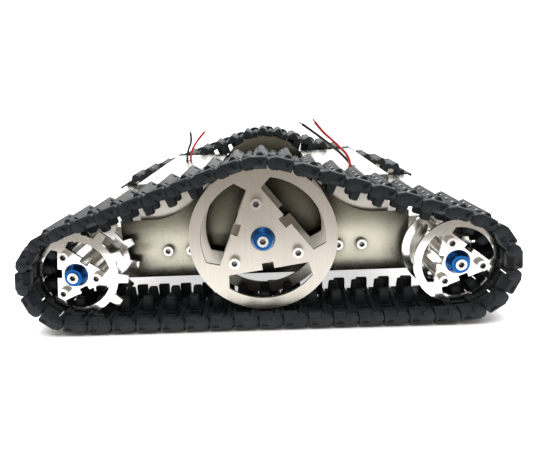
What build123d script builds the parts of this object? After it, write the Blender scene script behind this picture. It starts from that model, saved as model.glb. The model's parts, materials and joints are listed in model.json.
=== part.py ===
from build123d import *
import os
from math import acos, asin, atan2, cos, degrees, hypot, pi, radians, sin, tan

# Two-motor tracked robot chassis. Millimetres, +X along travel, +Z up, origin on the ground
# under the middle. The near side is -Y. The robot is point-symmetric: half a turn about Z
# carries every near-side part onto its far-side twin.

# driving dimensions
ROOT_C = 47.5  # centre wheel, radius of the running surface
ROOT_E = 27.8  # end wheels, radius of the running surface
OUTER = 131.5  # from the middle plane to a wheel's outer face
LINKS = 44  # links in one track
PITCH = 15.8  # from one track pin to the next
PIN_RISE = 2.7  # track pins outside the running surface
GROUSER = 6.3  # grouser tips outside the pin line

# wheels
PLATE = 2.0
FACE_TO_FACE = 30.5  # outer plate's front to inner plate's front
TEETH = 12
TOOTH_TIP = 34.1
TOOTH_BASE_W = 6.4
TOOTH_TIP_W = 4.8
HUB_R = 6.0
SCREW_R, HEAD_R, HEAD_H = 2.0, 3.5, 4.0  # M4 socket cap screws
SOCKET_R, SOCKET_DEPTH = 2.1, 2.6
SPACER_R = 3.0
CUP_BASE_R, CUP_TIP_R, CUP_H, CUP_FLOOR = 8.0, 5.7, 5.6, 2.6
BEARING_R, BEARING_W = 4.0, 2.5
AXLE_R = 2.5
SHAFT_R = 2.0
SLIP = 0.04  # radial clearance of a running fit
SCREWS_C, SCREWS_E = 23.75, 14.4  # radius of a wheel's circle of three screws
# windows: width of the rim, height of the chord, its half width, half width at the rim,
# width and floor of the notch
WINDOW_C = (7.5, 20.2, 26.1, 27.5, 7.6, 15.9)
WINDOW_E = (5.0, 12.2, 15.3, 15.9, 6.0, 9.2)
COLLAR_R, AXLE_HEX_R, AXLE_HEX_H = 4.2, 4.6, 4.0  # the stub axles' collars and bolt heads
TURN_SPROCKET, TURN_IDLER = 113.0, 112.0  # angle of the first screw
TURN_CENTRE, TURN_FAR_CENTRE = 98.0, 90.0

# body
PANEL_Y, SHEET = 93.0, 2.0  # outer face of the side panels, thickness of the sheet metal
PANEL_X = 101.5
FLOOR_DROP, EDGE_RISE, TOP_RISE = 36.0, 6.5, 31.5  # below and above the centre axle
HUMP_R, HUMP_FOOT = 42.0, 79.0  # concave arcs up to the hump, and where they start
CROWN_R = 47.0  # the hump's round top, about the centre axle
COVER_IN, COVER_OUT, COVER_Y, COVER_SHEET = 37.0, 88.0, 88.0, 1.5
BAY_Y = 72.0  # half length of the opening in the deck
END_X, END_IN, END_RISE, END_DROP = 147.0, 88.0, 2.0, 34.0
PANEL_SCREWS = (-68.5, -52.0, 52.0, 68.5)
PANEL_SCREW_DROP = 16.0
HOLE_R = 1.6  # M3 clearance holes for a builder's own parts

# motors
GEARBOX_R, GEARBOX_L = 12.5, 21.0
CAN_R, CAN_L = 12.2, 31.0
TERMINAL = 7.0  # the two motor terminals stand this far each side of the shaft's axis

# wires
WIRE_D = 2.0
HOLE_X, HOLE_Y = 70.0, 40.0  # where the leads come up through a cover
LEAD_HOLE_R = 3.6

# track link, across the track from its outer edge, and along it from one pin to the next
TRACK_EDGE, TRACK_W = 147.0, 53.2
OWN_SPANS = ((0, 6.0), (24.0, 38.0), (48.3, TRACK_W))  # knuckles round a link's own pin
NEXT_SPANS = ((6.3, 23.7), (38.3, 48.0))  # and round its neighbour's
RIDGE_SPAN = (9.0, TRACK_W)  # the grouser's ridge, with a flat pad at the outer edge
BODY_GAP = 3.1  # from a pin to the tread block
LINK_GAP = 0.3
UNDERSIDE, SHOULDER = 1.2, 2.2  # below and above the pin line
PAD_LOW, PAD_TOP, PAD_INSET = 3.4, 4.4, 0.5
RIDGE_TIP_W = 1.6
PIN_R, PIN_SLIP = 1.0, 0.05
BOSS_R, OWN_R, NEXT_R = 3.8, 2.6, 2.2  # knuckles: at the outer edge, own pin, neighbour's pin
LUGS_AT, LUG_THICK = (22.75, 40.75), 5.0
LUG_DROP, LUG_BASE, LUG_TIP = 11.6, 8.0, 5.6
SLOT_L, SLOT_W, SLOT_TOP = 8.0, 3.4, 5.0  # clears a wheel plate and a sprocket tooth
CHEEK_U, CHEEK_W, CHEEK_DROP = (-1.5, 6.1), 49.0, 9.4  # block under the inner edge's hinge

PIN_C, PIN_E = ROOT_C + PIN_RISE, ROOT_E + PIN_RISE
AXLE_C = PIN_C + GROUSER
AXLE_E = PIN_E + GROUSER
DECK_TOP = AXLE_C + EDGE_RISE
COVER_TOP = AXLE_C + TOP_RISE
FLOOR = AXLE_C - FLOOR_DROP
END_TOP = AXLE_C + END_RISE
HALF_TURN = Rot(0, 0, 180)


# ---- track layout


def pin_line(half_base):
    """The closed line through the track pins, as stretches (length, point at a distance)."""
    rise = asin((AXLE_C - AXLE_E) / hypot(half_base, AXLE_C - AXLE_E)) * 2
    top, base = pi / 2 + rise, 3 * pi / 2

    def arc(x, z, radius, start, turn):
        return radius * turn, lambda s: (
            x + radius * cos(start + s / radius),
            z + radius * sin(start + s / radius),
        )

    def straight(a, b):
        length = hypot(b[0] - a[0], b[1] - a[1])
        return length, lambda s: (
            a[0] + (b[0] - a[0]) * s / length,
            a[1] + (b[1] - a[1]) * s / length,
        )

    def on(x, z, radius, angle):
        return x + radius * cos(angle), z + radius * sin(angle)

    left, right = (-half_base, AXLE_E, PIN_E), (half_base, AXLE_E, PIN_E)
    centre = (0, AXLE_C, PIN_C)
    return [
        arc(*left, top, base - top),
        straight(on(*left, base), on(*right, base)),
        arc(*right, base, base - top),
        straight(on(*right, pi - top), on(*centre, pi - top)),
        arc(*centre, pi - top, 2 * rise),
        straight(on(*centre, top), on(*left, top)),
    ]


def along(line, s):
    s %= sum(length for length, _ in line)
    for length, point in line:
        if s <= length:
            return point(s)
        s -= length
    return line[0][1](0)


def walk_pins(half_base):
    """Pins one pitch apart, from the one that seats a sprocket tooth, and the gap left over."""
    line = pin_line(half_base)
    around = sum(length for length, _ in line)
    rise = asin((AXLE_C - AXLE_E) / hypot(half_base, AXLE_C - AXLE_E)) * 2
    first = radians(TURN_SPROCKET + 180 / TEETH) - (pi / 2 + rise)
    start = s = first * PIN_E
    pins = []
    for _ in range(LINKS):
        here = along(line, s)
        pins.append(here)
        low, high = s + 0.9 * PITCH, s + 1.2 * PITCH
        for _ in range(40):
            middle = (low + high) / 2
            there = along(line, middle)
            near = hypot(there[0] - here[0], there[1] - here[1]) < PITCH
            low, high = (middle, high) if near else (low, middle)
        s = low
    return pins, start + around - s


def closed_half_base():
    """Half the distance between the end axles at which the links close into a loop."""
    low, high = 115.0, 130.0
    for _ in range(50):
        middle = (low + high) / 2
        low, high = (low, middle) if walk_pins(middle)[1] > 0 else (middle, high)
    return low


HALF_BASE = closed_half_base()
PINS = walk_pins(HALF_BASE)[0]


# ---- track


def link_block(u0, u1, w0, w1, v0, v1):
    """A box in a link's own frame: u along it, w across from its outer edge, v outwards."""
    size = (u1 - u0, w1 - w0, v1 - v0)
    return Pos(u0, w0, v0) * Box(*size, align=(Align.MIN, Align.MIN, Align.MIN))


def across(profile, w0, w1):
    """A profile in (u, v), carried across the track from w0 to w1."""
    plane = Plane(origin=(0, w0, 0), x_dir=(1, 0, 0), z_dir=(0, -1, 0))
    return extrude(plane * profile, amount=-(w1 - w0))


def knuckle(u, reach, radius, w0, w1):
    barrel = across(Pos(u, 0) * Circle(radius), w0, w1)
    arm = link_block(min(u, reach), max(u, reach), w0, w1, -UNDERSIDE, SHOULDER - 0.6)
    return barrel + arm - across(Pos(u, 0) * Circle(PIN_R + PIN_SLIP), w0 - 1, w1 + 1)


def track_link():
    """One moulded link, from its own pin at u = 0 to its neighbour's at u = PITCH."""
    start, end, middle = BODY_GAP, PITCH - BODY_GAP, PITCH / 2
    pad_end = PITCH - BOSS_R - LINK_GAP
    ridge = Polygon(
        (start, -UNDERSIDE), (end, -UNDERSIDE), (end, SHOULDER),
        (middle + RIDGE_TIP_W / 2, GROUSER), (middle - RIDGE_TIP_W / 2, GROUSER),
        (start, SHOULDER), align=None,
    )
    link = across(ridge, *RIDGE_SPAN)
    link += link_block(start - 0.5, pad_end, PAD_INSET, RIDGE_SPAN[0], -PAD_LOW, PAD_TOP)
    for w0, w1 in OWN_SPANS:
        link += knuckle(0, start + 0.5, BOSS_R if w0 == 0 else OWN_R, w0, w1)
    for w0, w1 in NEXT_SPANS:
        link += knuckle(PITCH, pad_end - 0.5, NEXT_R, w0, w1)
    lug = Polygon(
        (middle - LUG_BASE / 2, -UNDERSIDE + 0.5), (middle - LUG_TIP / 2, -LUG_DROP),
        (middle + LUG_TIP / 2, -LUG_DROP), (middle + LUG_BASE / 2, -UNDERSIDE + 0.5),
        align=None,
    )
    for w in LUGS_AT:
        link += across(lug, w - LUG_THICK / 2, w + LUG_THICK / 2)
    for w in (plate_middle(0), plate_middle(FACE_TO_FACE)):
        u0, u1, w0, w1 = middle - SLOT_L / 2, middle + SLOT_L / 2, w - SLOT_W / 2, w + SLOT_W / 2
        link -= link_block(u0, u1, w0, w1, -LUG_DROP, SLOT_TOP)
    link += link_block(*CHEEK_U, CHEEK_W, TRACK_W, -CHEEK_DROP, 0)
    return link - across(Circle(PIN_R + PIN_SLIP), -1, TRACK_W + 1)


def plate_middle(depth):
    """Across the track, the middle of a wheel plate whose front is depth behind the first."""
    return TRACK_EDGE - OUTER + depth + PLATE / 2


def link_place(n):
    """Where link n goes: u back towards pin n, w inwards, v away from the inside of the loop."""
    (x0, z0), (x1, z1) = PINS[(n + 1) % LINKS], PINS[n]
    plane = Plane(
        origin=(x0, -TRACK_EDGE, z0),
        x_dir=(x1 - x0, 0, z1 - z0),
        z_dir=(z0 - z1, 0, x1 - x0),
    )
    return plane.location


def near_track():
    link = track_link()
    links = [link_place(n) * link for n in range(LINKS)]
    pin = across(Circle(PIN_R), 0.2, TRACK_W - 0.2)
    pins = [Pos(x, -TRACK_EDGE, z) * pin for x, z in PINS]
    return links, pins


# ---- wheels, in a frame of their own: x right, y up, z outwards, front face at z = 0


def polar(radius, angle):
    return Pos(radius * cos(radians(angle)), radius * sin(radians(angle)))


def three(turn):
    return [turn + 120 * n for n in range(3)]


def window(root, rim, chord, half_w, flare_w, notch_w, notch_floor):
    """One of a plate's three windows, on its +y side: a chord with a square notch, and the rim."""
    inner = root - rim
    corner = (inner**2 - flare_w**2) ** 0.5
    sides = Polygon(
        (-half_w, chord), (half_w, chord), (flare_w, corner), (flare_w, root),
        (-flare_w, root), (-flare_w, corner), align=None,
    )
    notch = Pos(0, (notch_floor + chord + 1) / 2) * Rectangle(notch_w, chord + 1 - notch_floor)
    return (sides & Circle(inner)) + notch


def wheel_profile(root, cut, screws_r, turn, bore_r, teeth=0):
    profile = Circle(root)
    for n in range(teeth):
        tooth = Polygon(
            (root - 1, -TOOTH_BASE_W / 2), (TOOTH_TIP, -TOOTH_TIP_W / 2),
            (TOOTH_TIP, TOOTH_TIP_W / 2), (root - 1, TOOTH_BASE_W / 2), align=None,
        )
        profile += Rot(0, 0, turn + 360 / teeth * n) * tooth
    profile -= Circle(bore_r)
    for angle in three(turn):
        profile -= polar(screws_r, angle) * Circle(SCREW_R + 0.1)
        profile -= Rot(0, 0, angle + 60 - 90) * cut
    return profile


def slab(profile, top, bottom):
    return extrude(Pos(0, 0, bottom) * profile, amount=top - bottom)


def cap_screw(seat, tip, up=1):
    """A socket cap screw whose head stands on z = seat and whose shank ends at z = tip."""
    head = slab(Circle(HEAD_R), seat + up * HEAD_H, seat)
    floor = seat + up * (HEAD_H - SOCKET_DEPTH)
    socket = slab(RegularPolygon(SOCKET_R, 6), seat + up * (HEAD_H + 1), floor)
    shank = slab(Circle(SCREW_R - 0.05), seat, tip)
    return head - socket + shank


def cup_washer():
    cone = Pos(0, 0, CUP_H / 2) * Cone(CUP_BASE_R, CUP_TIP_R, CUP_H)
    recess = slab(Circle(HEAD_R + 0.2), CUP_H + 1, CUP_FLOOR)
    return cone - recess - slab(Circle(SCREW_R + 0.1), CUP_FLOOR + 1, -1)


def tube(outer_r, inner_r, top, bottom):
    return slab(Circle(outer_r) - Circle(inner_r), top, bottom)


HUB_BACK = -34.5
BORE_END = -11.5  # the hub's blind bores end here
BEARINGS = (-12.5, -31.0)  # outer face of each bearing


def free_hub():
    hub = slab(Circle(HUB_R), -PLATE, HUB_BACK) - slab(Circle(BEARING_R), BORE_END, HUB_BACK)
    return hub - slab(Circle(SCREW_R), -PLATE, BORE_END + 1)


def driven_hub():
    hub = slab(Circle(HUB_R), -PLATE, HUB_BACK)
    hub -= slab(Circle(SHAFT_R + 0.02), BORE_END - 2, HUB_BACK)
    return hub - slab(Circle(SCREW_R), -PLATE, BORE_END)


def bearings():
    return [
        tube(BEARING_R - 0.02, AXLE_R + SLIP, face, face - BEARING_W) for face in BEARINGS
    ]


def wheel(root, cut, screws_r, turn, teeth=0):
    """All the nodes of a wheel that every wheel has."""
    outer = wheel_profile(root, cut, screws_r, turn, SCREW_R + 0.1, teeth)
    inner = wheel_profile(root, cut, screws_r, turn, HUB_R + 0.05, teeth)
    back = -FACE_TO_FACE - PLATE
    spots = [polar(screws_r, angle) for angle in three(turn)]
    spacer = tube(SPACER_R, SCREW_R, -PLATE, -FACE_TO_FACE)
    rods = [cap_screw(0, -PLATE - 10), cap_screw(back, -FACE_TO_FACE + 10, up=-1)]
    return {
        "outer_plate": [slab(outer, 0, -PLATE)],
        "inner_plate": [slab(inner, -FACE_TO_FACE, back)],
        "spacers": [spot * spacer for spot in spots],
        "screws": [spot * rod for spot in spots for rod in rods]
        + [cap_screw(CUP_FLOOR, -9.5)],
        "cup_washer": [cup_washer()],
    }


def centre_wheel(turn):
    parts = wheel(ROOT_C, window(ROOT_C, *WINDOW_C), SCREWS_C, turn)
    return parts | {"hub": [free_hub()], "bearings": bearings()}


def idler():
    parts = wheel(ROOT_E, window(ROOT_E, *WINDOW_E), SCREWS_E, TURN_IDLER)
    return parts | {"hub": [free_hub()], "bearings": bearings()}


def sprocket():
    parts = wheel(ROOT_E, window(ROOT_E, *WINDOW_E), SCREWS_E, TURN_SPROCKET, TEETH)
    shaft = slab(Circle(SHAFT_R), BORE_END - 2.5, -57.0)
    return parts | {"hub": [driven_hub()], "drive_shaft": [shaft]}


def wheel_place(x, z):
    return Plane(origin=(x, -OUTER, z), x_dir=(1, 0, 0), z_dir=(0, -1, 0)).location


def stub_axle(seat):
    """A shoulder bolt through a wall whose outer face is at z = seat, in a wheel's frame."""
    collar = slab(Circle(COLLAR_R), HUB_BACK - 0.5, seat)
    rod = slab(Circle(AXLE_R), BORE_END - 0.5, seat - SHEET)
    back = seat - SHEET
    return collar + rod + slab(RegularPolygon(AXLE_HEX_R, 6), back, back - AXLE_HEX_H)


# ---- body


def panel_wall(profile, y_outer, thick):
    """A wall of sheet metal on the near side: a profile in (x, z), from y_outer inwards."""
    plane = Plane(origin=(0, -y_outer, 0), x_dir=(1, 0, 0), z_dir=(0, -1, 0))
    return extrude(plane * profile, amount=-thick)


def side_panel():
    """Flat panel with a round crown over the centre axle, reached by concave arcs."""
    arc_z = DECK_TOP + HUMP_R
    span = hypot(HUMP_FOOT, arc_z - AXLE_C)
    tilt = atan2(arc_z - AXLE_C, HUMP_FOOT) + acos((HUMP_R + CROWN_R) / span)
    right = [
        (HUMP_FOOT - HUMP_R * cos(angle), arc_z - HUMP_R * sin(angle))
        for angle in (pi / 2, (pi / 2 + tilt) / 2, tilt)
    ]
    right.append((CROWN_R * cos(tilt), AXLE_C + CROWN_R * sin(tilt)))
    left = [(-x, z) for x, z in reversed(right)]
    outline = (
        Line((-PANEL_X, FLOOR), (PANEL_X, FLOOR))
        + Line((PANEL_X, FLOOR), (PANEL_X, DECK_TOP))
        + Line((PANEL_X, DECK_TOP), right[0])
        + ThreePointArc(*right[:3])
        + Line(right[2], right[3])
        + ThreePointArc(right[3], (0, AXLE_C + CROWN_R), left[0])
        + Line(left[0], left[1])
        + ThreePointArc(*left[1:])
        + Line(left[3], (-PANEL_X, DECK_TOP))
        + Line((-PANEL_X, DECK_TOP), (-PANEL_X, FLOOR))
    )
    face = make_face(outline) - Pos(0, AXLE_C) * Circle(AXLE_R + 0.1)
    for x in PANEL_SCREWS:
        face -= Pos(x, AXLE_C - PANEL_SCREW_DROP) * Circle(SCREW_R + 0.1)
    return panel_wall(face, PANEL_Y, SHEET)


def box(x0, x1, y0, y1, z0, z1):
    size = (x1 - x0, y1 - y0, z1 - z0)
    return Pos(x0, y0, z0) * Box(*size, align=(Align.MIN, Align.MIN, Align.MIN))


def hole(x, y, radius, z0, z1):
    return Pos(x, y, z0) * extrude(Circle(radius), amount=z1 - z0)


def corners(x, half_x, half_y):
    return [(x + a * half_x, b * half_y) for a in (-1, 1) for b in (-1, 1)]


def floor_pan():
    """Floor, the two end walls and the side flanges that the panels screw to, in one sheet."""
    inside = PANEL_Y - SHEET
    wall_top = DECK_TOP - SHEET
    pan = box(-PANEL_X, PANEL_X, -inside + SHEET, inside - SHEET, FLOOR, FLOOR + SHEET)
    for x in (-PANEL_X, PANEL_X - SHEET):
        pan += box(x, x + SHEET, -inside + SHEET + 0.2, inside - SHEET - 0.2, FLOOR, wall_top)
    for y in (-inside, inside - SHEET):
        pan += box(-END_IN + 2, END_IN - 2, y, y + SHEET, FLOOR, AXLE_C - 9)
        for x in PANEL_SCREWS:
            bore = Pos(x, y - 1, AXLE_C - PANEL_SCREW_DROP) * Rot(-90, 0, 0) * extrude(
                Circle(SCREW_R), amount=SHEET + 2
            )
            pan -= bore
    for side in (-1, 1):
        gate = Pos(side * (PANEL_X + 1), -side * 17, AXLE_E + 2) * Rot(0, 90, 0)
        pan -= gate * Cylinder(7.5, 10)
    return pan


def main_deck():
    """The deck between the panels, open over the bay, with a hole for each pair of leads."""
    half_y = PANEL_Y - SHEET
    deck = box(-PANEL_X, PANEL_X, -half_y, half_y, DECK_TOP - SHEET, DECK_TOP)
    deck -= box(-COVER_IN, COVER_IN, -BAY_Y, BAY_Y, DECK_TOP - SHEET - 1, DECK_TOP + 1)
    for side in (-1, 1):
        deck -= hole(side * HOLE_X, -side * HOLE_Y, 8, DECK_TOP - SHEET - 1, DECK_TOP + 1)
    return deck


def cover():
    """The right-hand raised cover: a folded top, end wall, side walls and a short inner lip."""
    t, foot = COVER_SHEET, DECK_TOP
    shell = box(COVER_IN, COVER_OUT, -COVER_Y, COVER_Y, foot, COVER_TOP)
    shell -= box(COVER_IN + t, COVER_OUT - t, -COVER_Y + t, COVER_Y - t, foot - 1, COVER_TOP - t)
    shell -= box(COVER_IN - 1, COVER_IN + t + 1, -COVER_Y + t, COVER_Y - t, foot - 1, COVER_TOP - 9)
    for x, y in corners((COVER_IN + COVER_OUT) / 2, 17.5, 60):
        shell -= hole(x, y, HOLE_R, COVER_TOP - t - 1, COVER_TOP + 1)
    return shell - hole(HOLE_X, -HOLE_Y, LEAD_HOLE_R, COVER_TOP - t - 1, COVER_TOP + 1)


def end_bracket():
    """The right-hand bracket: an end deck folded down on both sides to carry the end axles."""
    outside, inside = PANEL_Y - SHEET, PANEL_Y - 2 * SHEET
    foot = AXLE_C - END_DROP
    bracket = box(PANEL_X + 0.5, END_X, -outside, outside, foot, END_TOP)
    bracket -= box(PANEL_X, END_X + 1, -inside, inside, foot - 1, END_TOP - SHEET)
    for y in (-outside, inside):
        bracket += box(END_IN, PANEL_X + 1, y, y + SHEET, foot, END_TOP)
    for x, y in corners((PANEL_X + END_X) / 2, 15, 50):
        bracket -= hole(x, y, HOLE_R, END_TOP - SHEET - 1, END_TOP + 1)
    for y, radius in ((-outside - 1, AXLE_R + 0.1), (inside - 1, 3.8)):
        bore = Pos(HALF_BASE, y, AXLE_E) * Rot(-90, 0, 0) * extrude(Circle(radius), amount=4)
        bracket -= bore
    return bracket


def panel_screws():
    """The near panel's four cap screws, with their heads outside."""
    return [
        Plane(origin=(x, -PANEL_Y, AXLE_C - PANEL_SCREW_DROP), z_dir=(0, -1, 0)).location
        * cap_screw(0, -2 * SHEET - 2)
        for x in PANEL_SCREWS
    ]


MOTOR_FACE = PANEL_Y - 2 * SHEET  # the gearbox's face, against the bracket's inner face


def gearbox():
    """The near motor's gearbox, with the boss that centres it in the bracket."""
    face = Plane(origin=(-HALF_BASE, -MOTOR_FACE, AXLE_E), x_dir=(1, 0, 0), z_dir=(0, -1, 0))
    body = slab(Circle(GEARBOX_R), 0, -GEARBOX_L) + slab(Circle(3.5), 2.2, 0)
    return face.location * (body - slab(Circle(SHAFT_R + SLIP), 3, -15.5))


def motor_can():
    """The near motor itself, with its rear boss and two terminals."""
    back = Plane(
        origin=(-HALF_BASE, -MOTOR_FACE + GEARBOX_L, AXLE_E), x_dir=(1, 0, 0), z_dir=(0, -1, 0)
    )
    body = slab(Circle(CAN_R), 0, -CAN_L) + slab(Circle(5), -CAN_L, -CAN_L - 2)
    for side in (-1, 1):
        tab = Pos(side * TERMINAL, 0, -CAN_L - 2) * Box(2.4, 0.6, 4.4)
        body += tab
    return back.location * body


# ---- wires: routes of the motor leads, from a terminal to the bare end


LEAD_START = -MOTOR_FACE + GEARBOX_L + CAN_L + 4.4
HIDDEN_BLACK = [
    (-HALF_BASE + TERMINAL, LEAD_START, AXLE_E), (-116.0, -18.0, 37.6), (-111.0, 0.0, 38.8),
    (-100.5, 14.0, 39.2), (-87.0, 25.0, 42.0), (-76.5, 34.0, 51.0), (-71.9, 38.6, 66.0),
    (-71.6, 38.9, 84.0),
]
HIDDEN_RED = [
    (-HALF_BASE - TERMINAL, LEAD_START, AXLE_E), (-129.6, -16.0, 37.4), (-120.0, 4.5, 38.4),
    (-103.0, 18.5, 38.8), (-88.5, 30.5, 41.4), (-75.2, 37.8, 50.6), (-69.0, 40.9, 65.8),
    (-68.5, 41.2, 84.0),
]
FREE = {
    "left_lead_black": [(-70.6, 39.4, 97.0), (-65.4, 39.8, 106.5), (-66.6, 40.4, 114.0)],
    "left_lead_red": [(-67.8, 41.4, 95.0), (-62.0, 41.0, 105.5), (-53.4, 40.2, 114.0)],
    "right_lead_black": [(66.6, -38.0, 93.5), (50.0, -38.6, 108.4), (32.0, -39.2, 121.8)],
    "right_lead_red": [
        (68.2, -41.1, 95.0), (57.6, -42.0, 106.2), (46.0, -42.8, 116.6), (41.6, -42.6, 123.2),
    ],
}


def half_turned(points):
    return [(-x, -y, z) for x, y, z in points]


def lead_route(name):
    hidden = HIDDEN_BLACK if name.endswith("black") else HIDDEN_RED
    return (hidden if name.startswith("left") else half_turned(hidden)) + FREE[name]


def lead(name):
    """A wire along straight runs joined by tangent arcs, each as large as its runs allow."""
    points = [Vector(*p) for p in lead_route(name)]
    runs = [b - a for a, b in zip(points, points[1:])]
    turns = [radians(a.get_angle(b)) for a, b in zip(runs, runs[1:])]
    radii = [
        0.45 * min(a.length, b.length) / tan(turn / 2)
        for a, b, turn in zip(runs, runs[1:], turns)
    ]
    path = FilletPolyline(*points, radius=radii)
    start = Plane(origin=points[0], z_dir=runs[0])
    wire = sweep(start * Circle(WIRE_D / 2), path=path)
    print(name, "runs", [round(r.length, 1) for r in runs])
    print(name, "turns", [round(degrees(t)) for t in turns], "radii", [round(r) for r in radii])
    expected = pi * (WIRE_D / 2) ** 2 * path.length
    print(name, "length", round(path.length, 1), "volume", round(wire.volume / expected, 4))
    return wire


# ---- everything, by node


def build():
    nodes = {}
    wheels = {
        "sprocket": (sprocket(), sprocket(), -HALF_BASE, AXLE_E),
        "idler": (idler(), idler(), HALF_BASE, AXLE_E),
        "centre": (centre_wheel(TURN_CENTRE), centre_wheel(TURN_FAR_CENTRE), 0, AXLE_C),
    }
    for name, (near_parts, far_parts, x, z) in wheels.items():
        near = wheel_place(x, z)
        far = HALF_TURN * near
        for side, place, parts in (("near", near, near_parts), ("far", far, far_parts)):
            for part, solids in parts.items():
                nodes[f"{side}_{name}_{part}"] = [place * solid for solid in solids]

    links, pins = near_track()
    nodes["near_track_links"] = links
    nodes["far_track_links"] = [HALF_TURN * link for link in links]
    nodes["track_pins"] = pins + [HALF_TURN * pin for pin in pins]

    nodes["near_side_panel"] = [side_panel()]
    nodes["far_side_panel"] = [HALF_TURN * side_panel()]
    nodes["floor_pan"] = [floor_pan()]
    nodes["main_deck"] = [main_deck()]
    axles = [
        wheel_place(0, AXLE_C) * stub_axle(PANEL_Y - OUTER),
        wheel_place(HALF_BASE, AXLE_E) * stub_axle(PANEL_Y - SHEET - OUTER),
    ]
    pairs = {
        "top_covers": [cover()],
        "end_brackets": [end_bracket()],
        "stub_axles": axles,
        "panel_screws": panel_screws(),
        "gearboxes": [gearbox()],
        "motor_cans": [motor_can()],
    }
    for name, solids in pairs.items():
        nodes[name] = solids + [HALF_TURN * solid for solid in solids]
    for name in FREE:
        nodes[name] = [lead(name)]
    return nodes


os.makedirs("parts", exist_ok=True)
print("half base", round(HALF_BASE, 3), "axles", AXLE_C, AXLE_E)
for node, solids in build().items():
    export_step(solids[0] if len(solids) == 1 else Compound(children=solids), f"parts/{node}.step")
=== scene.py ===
import json
from math import atan2, cos, pi, radians, sin

import bmesh
import bpy
import numpy as np
from mathutils import Matrix, Vector

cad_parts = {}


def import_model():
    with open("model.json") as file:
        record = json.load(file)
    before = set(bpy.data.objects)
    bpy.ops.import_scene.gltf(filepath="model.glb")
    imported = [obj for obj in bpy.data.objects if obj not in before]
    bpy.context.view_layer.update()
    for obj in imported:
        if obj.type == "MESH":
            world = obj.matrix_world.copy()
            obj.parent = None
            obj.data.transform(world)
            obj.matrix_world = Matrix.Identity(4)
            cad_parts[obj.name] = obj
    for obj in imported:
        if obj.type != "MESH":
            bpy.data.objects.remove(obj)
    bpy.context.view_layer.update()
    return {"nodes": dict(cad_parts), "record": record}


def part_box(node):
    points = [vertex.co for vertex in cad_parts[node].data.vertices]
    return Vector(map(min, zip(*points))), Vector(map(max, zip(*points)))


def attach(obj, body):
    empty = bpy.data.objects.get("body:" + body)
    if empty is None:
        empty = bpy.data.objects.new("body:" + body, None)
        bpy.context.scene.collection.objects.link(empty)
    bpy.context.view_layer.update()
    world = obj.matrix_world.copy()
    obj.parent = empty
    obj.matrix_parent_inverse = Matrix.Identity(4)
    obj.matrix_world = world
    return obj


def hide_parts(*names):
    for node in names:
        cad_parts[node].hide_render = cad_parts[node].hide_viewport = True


# The looks of a two-motor tracked robot chassis: moulded tracks, bevelled sheet metal and wheels,
# motor leads, studio. Metres, in the frame's axes. A link's own frame is in millimetres.

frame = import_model()
NODES = frame["nodes"]
MM = 0.001


# ---- camera


def camera():
    data = bpy.data.cameras.new("camera")
    data.sensor_width, data.lens = 36.0, 34.51
    data.shift_x, data.shift_y = 0.042, 0.0007
    data.clip_start = 0.01
    obj = bpy.data.objects.new("camera", data)
    bpy.context.scene.collection.objects.link(obj)
    yaw, pitch, roll = radians(-2.43), radians(15.02), radians(-2.80)
    ahead = Vector((sin(yaw) * cos(pitch), cos(yaw) * cos(pitch), -sin(pitch)))
    right = Vector((cos(yaw), -sin(yaw), 0))
    up = right.cross(ahead)
    turned_right = cos(roll) * right + sin(roll) * up
    turned_up = cos(roll) * up - sin(roll) * right
    obj.matrix_world = Matrix.Translation((0.0068, -0.4547, 0.1461)) @ Matrix(
        (turned_right, turned_up, -ahead)
    ).transposed().to_4x4()
    bpy.context.scene.camera = obj


camera()


# ---- materials


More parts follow.
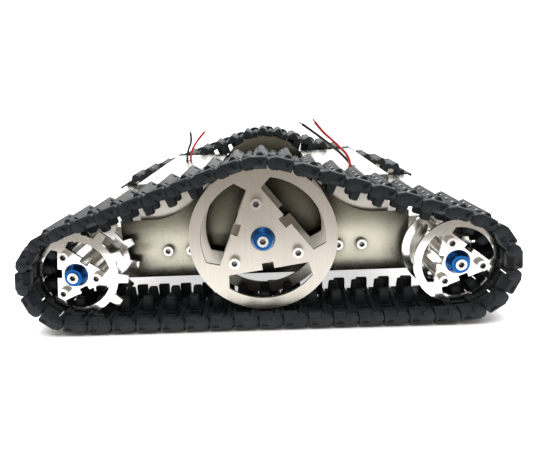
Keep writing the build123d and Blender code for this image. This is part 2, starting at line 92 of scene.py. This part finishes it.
class Nodes:
    """A material's node tree around its Principled shader, with short calls to add to it."""

    def __init__(self, name, **constants):
        self.material = bpy.data.materials.new(name)
        self.material.use_nodes = True
        self.tree = self.material.node_tree
        self.shader = self.tree.nodes["Principled BSDF"]
        for key, value in constants.items():
            self.shader.inputs[key.replace("_", " ")].default_value = value
        self.place = self.add("ShaderNodeTexCoord").outputs["Object"]

    def add(self, kind, **values):
        node = self.tree.nodes.new(kind)
        for key, value in values.items():
            setattr(node, key, value)
        return node

    def link(self, a, b):
        self.tree.links.new(a, b)

    def noise(self, scale, detail=4.0, stretch=(1, 1, 1), rough=0.55):
        mapping = self.add("ShaderNodeMapping")
        mapping.inputs["Scale"].default_value = stretch
        self.link(self.place, mapping.inputs["Vector"])
        node = self.add("ShaderNodeTexNoise")
        node.inputs["Scale"].default_value = scale
        node.inputs["Detail"].default_value = detail
        node.inputs["Roughness"].default_value = rough
        self.link(mapping.outputs["Vector"], node.inputs["Vector"])
        return node.outputs["Fac"]

    def spread(self, value, low, high, start=0.3, end=0.7):
        """value, from start to end, carried to low to high."""
        node = self.add("ShaderNodeMapRange")
        for key, number in zip(
            ("From Min", "From Max", "To Min", "To Max"), (start, end, low, high)
        ):
            node.inputs[key].default_value = number
        self.link(value, node.inputs["Value"])
        return node.outputs["Result"]

    def between(self, value, a, b, start=0.35, end=0.65):
        """A colour from a to b as value goes from start to end."""
        ramp = self.add("ShaderNodeValToRGB")
        low, high = ramp.color_ramp.elements
        low.position, low.color = start, (*a, 1)
        high.position, high.color = end, (*b, 1)
        self.link(value, ramp.inputs["Fac"])
        return ramp.outputs["Color"]

    def color(self, value):
        self.link(value, self.shader.inputs["Base Color"])

    def roughness(self, value, low, high, start=0.3, end=0.7):
        self.link(self.spread(value, low, high, start, end), self.shader.inputs["Roughness"])

    def openness(self, reach):
        """From 0, deep in a recess, to 1, in the open, as seen within reach."""
        node = self.add("ShaderNodeAmbientOcclusion", samples=8)
        node.inputs["Distance"].default_value = reach
        return node.outputs["AO"]

    def with_painted_shade(self, tone, reach, least):
        """A colour with painted shade: darker towards the crannies that other parts shade within
        reach.
        """
        node = self.add("ShaderNodeVectorMath", operation="SCALE")
        self.link(tone, node.inputs[0])
        self.link(self.spread(self.openness(reach), least, 1.0, 0.45, 0.90), node.inputs["Scale"])
        return node.outputs["Vector"]

    def bump(self, value, strength, distance):
        node = self.add("ShaderNodeBump")
        node.inputs["Strength"].default_value = strength
        node.inputs["Distance"].default_value = distance
        self.link(value, node.inputs["Height"])
        if self.shader.inputs["Normal"].links:
            self.link(self.shader.inputs["Normal"].links[0].from_socket, node.inputs["Normal"])
        self.link(node.outputs["Normal"], self.shader.inputs["Normal"])


# Painted shade on the panels: how far off a part darkens their colour, and the darkest it paints
SHADE_PAINT_REACH, SHADE_PAINT_TONE = 40 * MM, 0.10  # how far off a part shades the panels, and how much


def brushed(name, dark, light, low, high, grain=(900, 900, 14), strength=0.12, smear_and_shade=0.0):
    """Brushed metal: fine straight lines in colour, gloss and relief, over broad soft patches.

    Above zero, the last argument spreads what it reflects across the lines, and darkens its crannies
    with painted shade.
    """
    m = Nodes(name, Metallic=1.0, Anisotropic=smear_and_shade)
    if smear_and_shade:
        across = m.add("ShaderNodeTangent", direction_type="RADIAL", axis="Z")
        m.link(across.outputs["Tangent"], m.shader.inputs["Tangent"])
    lines = m.noise(1.0, 3.0, grain, 0.7)
    patches = m.noise(22.0, 3.0)
    tone = m.between(lines, dark, light, 0.25, 0.75)
    # Painted shade: with the smear set, the colour darkens where other parts come close
    m.color(m.with_painted_shade(tone, SHADE_PAINT_REACH, SHADE_PAINT_TONE) if smear_and_shade else tone)
    m.roughness(patches, low, high)
    m.bump(lines, strength, 0.05 * MM)
    m.bump(patches, 0.05, 0.4 * MM)
    return m.material


def turned(name, dark, light, low, high, scale=420.0, strength=0.05):
    """Bright turned or plated metal with faint tool marks and small changes of gloss."""
    m = Nodes(name, Metallic=1.0)
    marks = m.noise(scale, 5.0)
    m.color(m.between(m.noise(90.0), dark, light))
    m.roughness(marks, low, high)
    m.bump(marks, strength, 0.05 * MM)
    return m.material


SOCKET_SHADE_REACH = 3.5 * MM  # half a screw head's width


def plated_screw(name, dark, light, low, high):
    """Bright plated metal with faint tool marks, and painted shade darkening the inside of its
    sockets.
    """
    m = Nodes(name, Metallic=1.0)
    marks = m.noise(420.0, 5.0)
    # Painted shade: the colour turns near black deep in the sockets
    m.color(m.between(m.openness(SOCKET_SHADE_REACH), dark, light, 0.30, 0.62))
    m.roughness(marks, low, high)
    m.bump(marks, 0.05, 0.05 * MM)
    return m.material


def plastic(name, dark, light, low, high, ribs=0.0, ior=1.5):
    """Moulded black plastic, with fine ribs across the track where ribs is above zero."""
    m = Nodes(name, IOR=ior)
    grain = m.noise(700.0, 4.0)
    m.color(m.between(m.noise(130.0), dark, light))
    m.roughness(m.noise(260.0), low, high)
    m.bump(grain, 0.12, 0.1 * MM)
    if ribs:
        wave = m.add("ShaderNodeTexWave", bands_direction="Y")
        wave.inputs["Scale"].default_value = ribs
        wave.inputs["Distortion"].default_value = 0.6
        wave.inputs["Detail"].default_value = 1.0
        m.link(m.place, wave.inputs["Vector"])
        m.bump(wave.outputs["Fac"], 0.6, 0.35 * MM)
    return m.material


def insulation(name, dark, light):
    m = Nodes(name, IOR=1.5)
    m.color(m.between(m.noise(160.0), dark, light))
    m.roughness(m.noise(500.0), 0.28, 0.42)
    m.bump(m.noise(900.0), 0.08, 0.05 * MM)
    return m.material


MATERIALS = {
    "panel_steel": brushed(
        "panel_steel", (0.50, 0.48, 0.39), (0.60, 0.57, 0.47), 0.22, 0.27, (1600, 1600, 20), 0.04,
        0.85,
    ),
    "polished_sheet": brushed("polished_sheet", (0.86, 0.84, 0.78), (0.96, 0.95, 0.90), 0.18, 0.30),
    "end_wheel_nickel": brushed(
        "end_wheel_nickel", (0.88, 0.87, 0.84), (0.98, 0.97, 0.95), 0.08, 0.15, (1200, 1200, 20), 0.04
    ),
    "centre_wheel_aluminium": brushed(
        "centre_wheel_aluminium", (0.62, 0.585, 0.52), (0.70, 0.665, 0.60), 0.30, 0.40,
        (1500, 1500, 25), 0.05,
    ),
    "turned_metal": turned("turned_metal", (0.62, 0.60, 0.57), (0.74, 0.72, 0.69), 0.24, 0.36),
    # The screws' dark colour is painted shade inside their sockets
    "screw_nickel": plated_screw("screw_nickel", (0.035, 0.03, 0.025), (0.88, 0.86, 0.84), 0.26, 0.34),
    "blue_anodised": turned("blue_anodised", (0.010, 0.085, 0.30), (0.016, 0.13, 0.42), 0.22, 0.32),
    "ground_steel": turned("ground_steel", (0.50, 0.49, 0.47), (0.62, 0.61, 0.59), 0.22, 0.34),
    "motor_zinc": turned("motor_zinc", (0.55, 0.56, 0.58), (0.68, 0.69, 0.70), 0.26, 0.38),
    "track_plastic": plastic(
        "track_plastic", (0.008, 0.011, 0.013), (0.017, 0.022, 0.026), 0.48, 0.62, ior=1.36
    ),
    "wire_black": insulation("wire_black", (0.006, 0.006, 0.007), (0.015, 0.015, 0.016)),
    "wire_red": insulation("wire_red", (0.42, 0.015, 0.018), (0.62, 0.035, 0.035)),
}
RIBBED = plastic("track_ribbed", (0.016, 0.018, 0.020), (0.034, 0.036, 0.039), 0.38, 0.52, 150.0, 1.42)
# Light grey studs on the black track plastic: a painted glint
PAINTED_GLINT_STUD = plastic("track_stud_painted_glint", (0.20, 0.21, 0.22), (0.34, 0.35, 0.36), 0.22, 0.35)
STRANDS = turned("copper_strands", (0.55, 0.38, 0.30), (0.80, 0.66, 0.58), 0.25, 0.40)

for sub in frame["record"]["subparts"]:
    for material_slot in NODES[sub["node"]].material_slots:
        material_slot.material = MATERIALS[sub["material_slot"]]


# ---- leads: the routes of the motor wires, from a terminal to the bare end, in millimetres

WIRE_D = 2.0
STRAND_R, STRAND_LENGTH = 0.55, 2.6
AXLE_X, AXLE_Z = 123.277, 36.8
TERMINAL, LEAD_START = 7.0, -32.6
HIDDEN_BLACK = [
    (TERMINAL - AXLE_X, LEAD_START, AXLE_Z), (-116.0, -18.0, 37.6), (-111.0, 0.0, 38.8),
    (-100.5, 14.0, 39.2), (-87.0, 25.0, 42.0), (-76.5, 34.0, 51.0), (-71.9, 38.6, 66.0),
    (-71.6, 38.9, 84.0),
]
HIDDEN_RED = [
    (-TERMINAL - AXLE_X, LEAD_START, AXLE_Z), (-129.6, -16.0, 37.4), (-120.0, 4.5, 38.4),
    (-103.0, 18.5, 38.8), (-88.5, 30.5, 41.4), (-75.2, 37.8, 50.6), (-69.0, 40.9, 65.8),
    (-68.5, 41.2, 84.0),
]
FREE = {
    "left_lead_black": [(-70.6, 39.4, 97.0), (-65.4, 39.8, 106.5), (-66.6, 40.4, 114.0)],
    "left_lead_red": [(-67.8, 41.4, 95.0), (-62.0, 41.0, 105.5), (-53.4, 40.2, 114.0)],
    "right_lead_black": [(66.6, -38.0, 93.5), (50.0, -38.6, 108.4), (32.0, -39.2, 121.8)],
    "right_lead_red": [
        (68.2, -41.1, 95.0), (57.6, -42.0, 106.2), (46.0, -42.8, 116.6), (41.6, -42.6, 123.2),
    ],
}


def lead_route(name):
    hidden = HIDDEN_BLACK if name.endswith("black") else HIDDEN_RED
    if name.startswith("right"):
        hidden = [(-x, -y, z) for x, y, z in hidden]
    return [Vector(p) * MM for p in hidden + FREE[name]]


def curve_piece(name, points, radius, material, order=3):
    data = bpy.data.curves.new(name, "CURVE")
    data.dimensions = "3D"
    data.bevel_depth, data.bevel_resolution, data.use_fill_caps = radius, 4, True
    spline = data.splines.new("NURBS")
    spline.points.add(len(points) - 1)
    for point, place in zip(spline.points, points):
        point.co = (*place, 1)
    spline.order_u, spline.use_endpoint_u, spline.resolution_u = order, True, 10
    data.materials.append(material)
    piece = bpy.data.objects.new(name, data)
    bpy.context.scene.collection.objects.link(piece)
    return piece


def lead(name):
    route = lead_route(name)
    slot = "wire_" + name.rsplit("_", 1)[1]
    wire = curve_piece(name + "_wire", route, WIRE_D / 2 * MM, MATERIALS[slot])
    along = (route[-1] - route[-2]).normalized()
    tip = curve_piece(
        name + "_strands", [route[-1] - along * 0.5 * MM, route[-1] + along * STRAND_LENGTH * MM],
        STRAND_R * MM, STRANDS, 2,
    )
    for piece in (wire, tip):
        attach(piece, "chassis")
    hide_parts(name)


for lead_name in FREE:
    lead(lead_name)


# ---- tracks: one link in its own frame, in millimetres: u along it, v outwards, and w across
# from the track's outer edge

LOW, HIGH = (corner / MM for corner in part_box("near_track_links"))
WIDTH = HIGH.y - LOW.y
OUTER_EDGE = LOW.y
GROUSER, SHOULDER, UNDERSIDE, BODY_GAP = 6.3, 2.2, 1.2, 3.1
RIDGE_TIP = 0.9  # half the width of the ridge's flat top
BOSS_R, BOSS_CAP_R, OWN_R, NEXT_R = 3.8, 2.5, 2.6, 2.2
BOSS_W = 6.0
PAD_LOW, PAD_TOP, PAD_SLOPE = 3.4, 4.4, 2.4
PAD_CORNER, PAD_GAP = 1.0, 0.3  # its bevelled corners, and the gap to the next link's boss
RIDGE_SPAN = (9.0, WIDTH)
OWN_SPANS = ((24.0, 38.0), (48.3, WIDTH))
NEXT_SPANS = ((6.3, 23.7), (38.3, 48.0))
LUGS_AT, LUG_DROP, LUG_HALF_W, LUG_BASE, LUG_TIP = (22.75, 40.75), 11.6, 2.5, 4.0, 2.9
CHEEK_U, CHEEK_W, CHEEK_DROP = (-1.5, 6.1), 49.0, 9.4  # block under the inner edge's hinge
PLATES_W = (16.5, 47.0)  # where the wheel plates run
POCKET_HALF_L, POCKET_HALF_W, POCKET_V = 4.0, 1.7, (-4.0, 5.0)
STUDS_W, STUD_SIZE = (10.5, 21.5, 32.5, 43.5), (1.6, 2.4, 1.1)


def pins(side):
    """The track's pins in order round its loop, in millimetres, seen from its own outside."""
    co = np.array([v.co for v in NODES["track_pins"].data.vertices]) / MM
    co = co[co[:, 1] * side > 0] * (-side, -side, 1)
    found = []
    for x, _, z in co:
        group = next((g for g in found if abs(g[0][0] - x) < 5 and abs(g[0][1] - z) < 5), None)
        if group is None:
            found.append([(x, z)])
        else:
            group.append((x, z))
    centres = [(np.min(g, 0) + np.max(g, 0)) / 2 for g in found]
    return sorted(centres, key=lambda c: atan2(c[1] - (LOW.z + HIGH.z) / 2 + 12, c[0]))


def solid(outline, w0, w1, bevel=0.0, rims_only=False, segments=2):
    """A closed prism from an outline in (u, v), from w0 to w1, with its edges rounded."""
    bm = bmesh.new()
    ends = [[bm.verts.new((u, w, v)) for u, v in outline] for w in (w0, w1)]
    caps = [bm.faces.new(ends[0]), bm.faces.new(list(reversed(ends[1])))]
    for n in range(len(outline)):
        m = (n + 1) % len(outline)
        bm.faces.new((ends[0][m], ends[0][n], ends[1][n], ends[1][m]))
    bmesh.ops.recalc_face_normals(bm, faces=bm.faces)
    if bevel:
        edges = {e for cap in caps for e in cap.edges} if rims_only else set(bm.edges)
        bmesh.ops.bevel(
            bm, geom=list(edges), offset=bevel, segments=segments, profile=0.5,
            affect="EDGES", clamp_overlap=True,
        )
    return bm


def circle(u, v, radius, count=22):
    return [
        (u + radius * cos(2 * pi * n / count), v + radius * sin(2 * pi * n / count))
        for n in range(count)
    ]


def rectangle(u0, u1, v0, v1):
    return [(u0, v0), (u1, v0), (u1, v1), (u0, v1)]


def mesh_object(name, parts):
    """One object from several bmeshes."""
    whole = bmesh.new()
    for part in parts:
        mesh = bpy.data.meshes.new("part")
        part.to_mesh(mesh)
        part.free()
        whole.from_mesh(mesh)
        bpy.data.meshes.remove(mesh)
    mesh = bpy.data.meshes.new(name)
    whole.to_mesh(mesh)
    whole.free()
    obj = bpy.data.objects.new(name, mesh)
    bpy.context.scene.collection.objects.link(obj)
    return obj


def combine(obj, other, operation):
    """obj joined with, or cut by, another object, which is then deleted."""
    modifier = obj.modifiers.new("combine", "BOOLEAN")
    modifier.operation, modifier.object, modifier.solver = operation, other, "EXACT"
    modifier.use_self = True
    bpy.context.view_layer.update()
    result = bpy.data.meshes.new_from_object(
        obj.evaluated_get(bpy.context.evaluated_depsgraph_get())
    )
    obj.modifiers.clear()
    obj.data = result
    bpy.data.objects.remove(other)


def stud(u, w, v, out):
    """A small square stud on a link's slope, which faces out."""
    bm = bmesh.new()
    bmesh.ops.create_cube(bm, size=1.0)
    bmesh.ops.scale(bm, vec=STUD_SIZE, verts=bm.verts)
    bmesh.ops.bevel(
        bm, geom=list(bm.edges), offset=0.3, segments=2, profile=0.5, affect="EDGES"
    )
    turn = Matrix.Rotation(atan2(out[0], out[1]), 4, "Y")
    bm.transform(Matrix.Translation((u, w, v)) @ turn)
    return bm


def tread_bar(pitch):
    """The grouser's ridge, with a flat pad at the track's outer edge, sloped on its inside."""
    start, end, middle = BODY_GAP, pitch - BODY_GAP, pitch / 2
    ridge = [
        (start, -UNDERSIDE), (end, -UNDERSIDE), (end, SHOULDER), (middle + RIDGE_TIP, GROUSER),
        (middle - RIDGE_TIP, GROUSER), (start, SHOULDER),
    ]
    bar = mesh_object("bar", [solid(ridge, *RIDGE_SPAN, 0.6, segments=3)])
    pocket = rectangle(middle - POCKET_HALF_L, middle + POCKET_HALF_L, *POCKET_V)
    pockets = [solid(pocket, w - POCKET_HALF_W, w + POCKET_HALF_W) for w in PLATES_W]
    combine(bar, mesh_object("pockets", pockets), "DIFFERENCE")
    pad_start, pad_end = -0.6, pitch - BOSS_R - PAD_GAP
    pad = [
        (pad_start, -PAD_LOW), (pad_end, -PAD_LOW), (pad_end, PAD_TOP - PAD_CORNER),
        (pad_end - PAD_CORNER, PAD_TOP), (pad_start + PAD_CORNER, PAD_TOP),
        (pad_start, PAD_TOP - PAD_CORNER),
    ]
    edge = mesh_object("edge", [solid(pad, 0.5, BOSS_W, 0.4)])
    for vertex in edge.data.vertices:
        if vertex.co.y < 1.2 and vertex.co.z < -2:
            vertex.co.z += PAD_SLOPE
    shelf = solid(rectangle(start - 0.5, pad_end, -PAD_LOW, PAD_TOP), 5.0, 9.5, 0.4)
    combine(edge, mesh_object("shelf", [shelf]), "UNION")
    notch = [(middle - 2.4, 3.0), (middle + 2.6, 3.0), (middle + 0.4, -0.6)]
    combine(edge, mesh_object("notch", [solid(notch, 0, 1.4, 0.3)]), "DIFFERENCE")
    combine(bar, edge, "UNION")
    return bar


def link_object(pitch):
    """One moulded link, with its edge boss, hinge knuckles, guide lugs and inner block."""
    start, end, middle = BODY_GAP, pitch - BODY_GAP, pitch / 2
    bar = tread_bar(pitch)
    parts = [
        solid(circle(0, 0, BOSS_R, 28), 0.4, BOSS_W, 0.7, True, 3),
        solid(circle(0, 0, BOSS_CAP_R), 0.0, 1.2, 0.3, True),
        solid(rectangle(0, start + 0.6, -PAD_LOW, SHOULDER), 0.6, BOSS_W - 0.1, 0.3),
    ]
    for w0, w1 in OWN_SPANS:
        parts.append(solid(circle(0, 0, OWN_R), w0, w1, 0.35, True))
        parts.append(solid(rectangle(0, start + 0.6, -UNDERSIDE, 1.6), w0 + 0.1, w1 - 0.1, 0.3))
    for w0, w1 in NEXT_SPANS:
        parts.append(solid(circle(pitch, 0, NEXT_R), w0, w1, 0.3, True))
        parts.append(solid(rectangle(end - 1.6, pitch, -UNDERSIDE, 1.6), w0 + 0.1, w1 - 0.1, 0.3))
    lug = [
        (middle - LUG_BASE, -0.7), (middle - LUG_TIP, -LUG_DROP), (middle + LUG_TIP, -LUG_DROP),
        (middle + LUG_BASE, -0.7),
    ]
    for w in LUGS_AT:
        parts.append(solid(lug, w - LUG_HALF_W, w + LUG_HALF_W, 1.4, segments=4))
    parts.append(solid(rectangle(*CHEEK_U, -CHEEK_DROP, -0.2), CHEEK_W, WIDTH - 0.1, 0.8))
    combine(bar, mesh_object("details", parts), "UNION")
    return bar


def studs_object(pitch):
    """The row of studs along the slope that faces back to the link's own pin."""
    start, middle = BODY_GAP, pitch / 2
    slope = (SHOULDER - GROUSER, middle - RIDGE_TIP - start)
    half = ((start + middle - RIDGE_TIP) / 2 - 0.1, (SHOULDER + GROUSER) / 2)
    return mesh_object("studs", [stud(half[0], w, half[1], slope) for w in STUDS_W])


def bevel_normals(mesh, angle=35):
    """Smooth shading, with edges sharper than the angle left hard."""
    for face in mesh.polygons:
        face.use_smooth = True
    bm = bmesh.new()
    bm.from_mesh(mesh)
    for edge in bm.edges:
        edge.smooth = len(edge.link_faces) == 2 and edge.calc_face_angle() < radians(angle)
    bm.to_mesh(mesh)
    bm.free()


def place_links(whole, part, places, side):
    """A copy of part at every link, u pointing back along the loop, as in the CAD model."""
    count = len(places)
    for n in range(count):
        (x1, z1), (x0, z0) = places[n], places[(n + 1) % count]
        u = Vector((x1 - x0, 0, z1 - z0)).normalized()
        v = Vector((-u.z, 0, u.x))
        rows = Matrix((u, Vector((0, 1, 0)), v)).transposed().to_4x4()
        at = Matrix.Translation((x0, OUTER_EDGE, z0)) @ rows
        if side > 0:
            at = Matrix.Rotation(pi, 4, "Z") @ at
        before = len(whole.verts)
        whole.from_mesh(part)
        whole.verts.ensure_lookup_table()
        bmesh.ops.transform(
            whole, matrix=Matrix.Scale(MM, 4) @ at, verts=whole.verts[before:]
        )


def track_piece(name, parts, places, side, materials):
    whole = bmesh.new()
    for part in parts:
        place_links(whole, part.data, places, side)
        bpy.data.objects.remove(part)
    mesh = bpy.data.meshes.new(name)
    whole.to_mesh(mesh)
    whole.free()
    bevel_normals(mesh)
    for material in materials:
        mesh.materials.append(material)
    piece = bpy.data.objects.new(name, mesh)
    bpy.context.scene.collection.objects.link(piece)
    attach(piece, "chassis")
    return piece


def track(name, side):
    """All the links of one track. side is -1 for the near track, +1 for the far."""
    places = pins(side)
    pitch = float(np.linalg.norm(places[1] - places[0]))
    link = link_object(pitch)
    for face in link.data.polygons:
        face.material_index = int(face.normal.x > 0.6 and face.normal.z > 0.6)
    plastics = (MATERIALS["track_plastic"], RIBBED)
    links = track_piece(name, [link], places, side, plastics)
    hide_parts(name + "_links")
    # The studs carry a painted glint in their light grey colour
    track_piece(name + "_studs", [studs_object(pitch)], places, side, [PAINTED_GLINT_STUD])


track("near_track", -1)
track("far_track", 1)


# ---- studio


FLOOR_X, FLOOR_FRONT, FLOOR_BACK = 3.0, -0.30, 6.0
# How bright the floor glows, and how near a part must stand for painted shadow to dim the glow
FLOOR_GLOW, PAINTED_SHADOW_REACH = 0.6, 18 * MM


def floor():
    """A pale floor that glows softly, with painted shadow where something stands close over it: there
    the glow fades.
    """
    bm = bmesh.new()
    left, right = -FLOOR_X, FLOOR_X
    outline = [(left, FLOOR_FRONT), (right, FLOOR_FRONT), (right, FLOOR_BACK), (left, FLOOR_BACK)]
    bm.faces.new([bm.verts.new((x, y, 0)) for x, y in outline])
    mesh = bpy.data.meshes.new("floor")
    bm.to_mesh(mesh)
    bm.free()
    obj = bpy.data.objects.new("floor", mesh)
    bpy.context.scene.collection.objects.link(obj)
    m = Nodes("floor", Roughness=0.7, Emission_Color=(1, 1, 1, 1))
    # Painted shadow: the glow fades near parts that stand close over the floor
    glow = m.spread(m.openness(PAINTED_SHADOW_REACH), 0.0, FLOOR_GLOW, 0.35, 0.95)
    m.link(glow, m.shader.inputs["Emission Strength"])
    m.color(m.between(m.noise(3.0), (0.93, 0.93, 0.93), (0.96, 0.96, 0.96)))
    mesh.materials.append(m.material)


def area_light(name, place, aim, size, power, color):
    data = bpy.data.lights.new(name, "AREA")
    data.shape, data.size, data.size_y = "RECTANGLE", *size
    data.energy, data.color = power, color
    obj = bpy.data.objects.new(name, data)
    obj.location = place
    obj.rotation_euler = (Vector(aim) - Vector(place)).to_track_quat("-Z", "Y").to_euler()
    bpy.context.scene.collection.objects.link(obj)


ROOM_FRONT, ROOM_BACK = (0.36, 0.33, 0.29, 1), (1.0, 1.0, 1.0, 1)
ROOM_STRENGTH, BACKDROP_STRENGTH = 1.05, 1.2


def world():
    """A white room, dimmer and warmer in front of the table. The camera sees it plain white."""
    sky = bpy.data.worlds.new("world")
    bpy.context.scene.world = sky
    sky.use_nodes = True
    tree = sky.node_tree
    room = tree.nodes["Background"]
    place = tree.nodes.new("ShaderNodeTexCoord")
    split = tree.nodes.new("ShaderNodeSeparateXYZ")
    ramp = tree.nodes.new("ShaderNodeValToRGB")
    front, back = ramp.color_ramp.elements
    front.position, front.color = 0.12, ROOM_FRONT
    back.position, back.color = 0.62, ROOM_BACK
    shift = tree.nodes.new("ShaderNodeMapRange")
    shift.inputs["From Min"].default_value = -1.0
    backdrop = tree.nodes.new("ShaderNodeBackground")
    backdrop.inputs["Color"].default_value = (1, 1, 1, 1)
    backdrop.inputs["Strength"].default_value = BACKDROP_STRENGTH
    seen = tree.nodes.new("ShaderNodeLightPath")
    choose = tree.nodes.new("ShaderNodeMixShader")
    tree.links.new(place.outputs["Generated"], split.inputs["Vector"])
    tree.links.new(split.outputs["Y"], shift.inputs["Value"])
    tree.links.new(shift.outputs["Result"], ramp.inputs["Fac"])
    tree.links.new(ramp.outputs["Color"], room.inputs["Color"])
    tree.links.new(seen.outputs["Is Camera Ray"], choose.inputs["Fac"])
    tree.links.new(room.outputs["Background"], choose.inputs[1])
    tree.links.new(backdrop.outputs["Background"], choose.inputs[2])
    tree.links.new(choose.outputs["Shader"], tree.nodes["World Output"].inputs["Surface"])
    room.inputs["Strength"].default_value = ROOM_STRENGTH


floor()
world()
area_light("top", (-0.2, -0.3, 1.3), (0, 0, 0.05), (1.2, 1.0), 14, (1, 1, 1))
area_light("back", (0.3, 1.3, 0.9), (0, 0, 0.05), (1.6, 0.8), 8, (1, 1, 1))
bpy.context.scene.view_settings.view_transform = "Standard"
